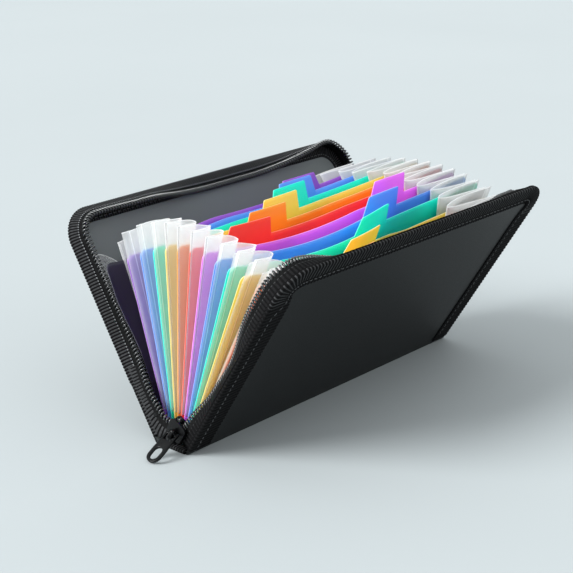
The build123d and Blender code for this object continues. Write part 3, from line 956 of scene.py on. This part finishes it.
def make_gusset(index, side, name):
    """Pleat of film between one wall and the next: a rounded fold that goes in between them."""
    foot_a, up_a, ahead_a, half_a = sheet_frame(index - 1)
    foot_b, up_b, ahead_b, half_b = sheet_frame(index)
    t = np.linspace(0, 1, 25)
    slack = END_SLACK if index == 0 and side < 0 else FILM_SLACK
    top = wall_top(index - 1, side) * (1 - t) + wall_top(index, side) * t - slack * np.sin(math.pi * t) ** 2
    top = top + 0.35 * np.sin(index * 2.3 + 9 * t) * np.sin(math.pi * t)
    height = FILM_LOW + np.linspace(0, 1, 26)[:, None] * (top - RIM_LINE - FILM_LOW)[None, :]
    height = np.concatenate([height, top[None, :]])
    deepening = FILM_DEPTH[side] - FILM_FOOT_DEPTH
    depth = FILM_FOOT_DEPTH + deepening * (height - FILM_LOW) / (FILM_TOP - FILM_LOW)
    depth = depth * (1 + 0.06 * math.sin(index * 1.7 + 2 * side))
    off_a, off_b = half_a + FILM_OFF, half_b + FILM_OFF
    weld_a, weld_b = weld_x(index - 1), weld_x(index)
    x = side * (weld_a + (weld_b - weld_a) * t - depth * np.sin(math.pi * t))
    bow_a, bow_b = bow(index - 1, x, height), bow(index, x, height)
    near = foot_a + height[..., None] * up_a + (off_a + bow_a)[..., None] * ahead_a
    far = foot_b + height[..., None] * up_b + (bow_b - off_b)[..., None] * ahead_b
    across = 0.5 - 0.5 * np.cos(math.pi * t)
    ripple = 0.15 * np.sin(height * 0.11 + index) * np.sin(2 * math.pi * t)[None, :]
    place = near + (far - near) * across[None, :, None] + ripple[..., None] * unit(far - near)
    grid = place + x[..., None] * arr(1, 0, 0)
    # Flat strips on both walls beside the fold, with a bright line next to it
    margin = 3 * WELD_LINE if index <= 1 else SHEET_HALF - 0.2 - weld_a
    flange_a = [grid[:, 0] + arr(side * reach, 0, 0) for reach in (margin, margin / 2, 2 * WELD_LINE)]
    flange_b = [grid[:, -1] + arr(side * reach, 0, 0) for reach in (WELD_LINE, 2 * WELD_LINE)]
    grid = np.concatenate([np.stack(flange_a, 1), grid, np.stack(flange_b, 1)], axis=1)
    points, faces = thick_sheet(grid, FILM_FACE)
    rows, columns = grid.shape[:2]
    corner = np.array(faces) % (rows * columns)
    row, column = corner // columns, corner % columns
    left, right = column.min(axis=1), column.max(axis=1)
    # The weld material covers the weld lines beside both walls and the far flange, and the top two rows,
    # where it is a painted highlight along the film's top fold.
    bright = ((left >= 2) & (right <= 3)) | (left >= columns - 3) | (row.min(axis=1) >= rows - 2)
    sheeting = FILM
    if side > 0:
        sheeting = FAR_FILM
    elif index == 0:
        sheeting = THIN_FILM
    piece = new_piece(name + "_film", points, faces, [sheeting, WELD], bright)
    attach(piece, "front_cover" if index == SHEET_COUNT else sheet_body(index))
    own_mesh(piece)
    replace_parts(piece, name)


for side, word in ((-1, "left"), (1, "right")):
    for index in range(SHEET_COUNT + 1):
        make_gusset(index, side, f"{word}_gusset_{index + 1:02d}")


# Slider, bridge and pull: the same forms with rounded edges

def rounded_copy(node, body, width, name):
    """Copy of a node's mesh with its sharp edges rounded."""
    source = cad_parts[node]
    piece = bpy.data.objects.new(name, source.data.copy())
    bpy.context.scene.collection.objects.link(piece)
    piece.data.materials.clear()
    piece.data.materials.append(METAL)
    weld = piece.modifiers.new("weld", "WELD")
    weld.merge_threshold = 0.00001
    flat = piece.modifiers.new("flat", "DECIMATE")
    flat.decimate_type = "DISSOLVE"
    flat.angle_limit = math.radians(2)
    bevel = piece.modifiers.new("bevel", "BEVEL")
    bevel.width = width * MM
    bevel.segments = 3
    bevel.limit_method = "ANGLE"
    bevel.angle_limit = math.radians(35)
    depsgraph = bpy.context.evaluated_depsgraph_get()
    final = bpy.data.meshes.new_from_object(piece.evaluated_get(depsgraph))
    piece.modifiers.clear()
    piece.data = final
    final.polygons.foreach_set("use_smooth", np.ones(len(final.polygons), bool))
    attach(piece, body)
    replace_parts(piece, node)


rounded_copy("zipper_slider", "zipper_slider", 0.22, "slider_body")
rounded_copy("slider_bridge", "zipper_slider", 0.25, "slider_loop")
rounded_copy("zipper_pull", "zipper_pull", 0.25, "pull_tab")


# Floor, sky, light and camera

TABLE_HALF = 6.0

mesh = bpy.data.meshes.new("table")
corners = [(x * TABLE_HALF, y * TABLE_HALF, 0) for x, y in ((-1, -1), (1, -1), (1, 1), (-1, 1))]
mesh.from_pydata(corners, [], [(0, 1, 2, 3)])
table = bpy.data.objects.new("table", mesh)
bpy.context.scene.collection.objects.link(table)
paper = Shade("table_paper").put(Roughness=0.75, Specular_IOR_Level=0.2)
paper.link(paper.ramp(paper.noise(3, 3), linear(162, 169, 171), linear(164, 171, 173)), "Base Color")
mesh.materials.append(paper.material)

world = bpy.data.worlds.new("studio")
bpy.context.scene.world = world
world.use_nodes = True
nodes, links = world.node_tree.nodes, world.node_tree.links
sky = nodes["Background"]
sky.inputs["Color"].default_value = (0.97, 0.99, 1.0, 1)
sky.inputs["Strength"].default_value = 1.05
# The camera, and what it sees mirrored or through film, shows the sky in the colour of the floor
backdrop = nodes.new("ShaderNodeBackground")
backdrop.inputs["Color"].default_value = linear(226, 236, 238)
rays = nodes.new("ShaderNodeLightPath")
seen = rays.outputs["Is Camera Ray"]
for kind in ("Is Glossy Ray", "Is Transmission Ray"):
    either = nodes.new("ShaderNodeMath")
    either.operation = "MAXIMUM"
    links.new(seen, either.inputs[0])
    links.new(rays.outputs[kind], either.inputs[1])
    seen = either.outputs["Value"]
mix = nodes.new("ShaderNodeMixShader")
links.new(seen, mix.inputs["Fac"])
links.new(sky.outputs["Background"], mix.inputs[1])
links.new(backdrop.outputs["Background"], mix.inputs[2])
links.new(mix.outputs["Shader"], nodes["World Output"].inputs["Surface"])


def soft_sun(name, place, strength, spread):
    """Broad even light from the direction of a place, as from a large window; spread in degrees."""
    light = bpy.data.lights.new(name, "SUN")
    light.energy = strength
    light.angle = math.radians(spread)
    made = bpy.data.objects.new(name, light)
    bpy.context.scene.collection.objects.link(made)
    made.location = place
    made.rotation_mode = "QUATERNION"
    made.rotation_quaternion = (-Vector(place)).to_track_quat("-Z", "Y")


soft_sun("key", (-1.5, 0.75, 1.2), 4.6, 30)
soft_sun("fill", (-0.8, -0.85, 1.6), 0.3, 60)

camera = bpy.data.cameras.new("camera")
camera.lens = 94.24
camera.sensor_width = 36
camera.clip_end = 50
eye = bpy.data.objects.new("camera", camera)
bpy.context.scene.collection.objects.link(eye)
eye.location = (-0.5016, -0.4226, 0.2743)
eye.rotation_mode = "QUATERNION"
eye.rotation_quaternion = Vector((0.7122, 0.6227, -0.3241)).to_track_quat("-Z", "Y")
bpy.context.scene.camera = eye
bpy.context.scene.view_settings.view_transform = "Standard"
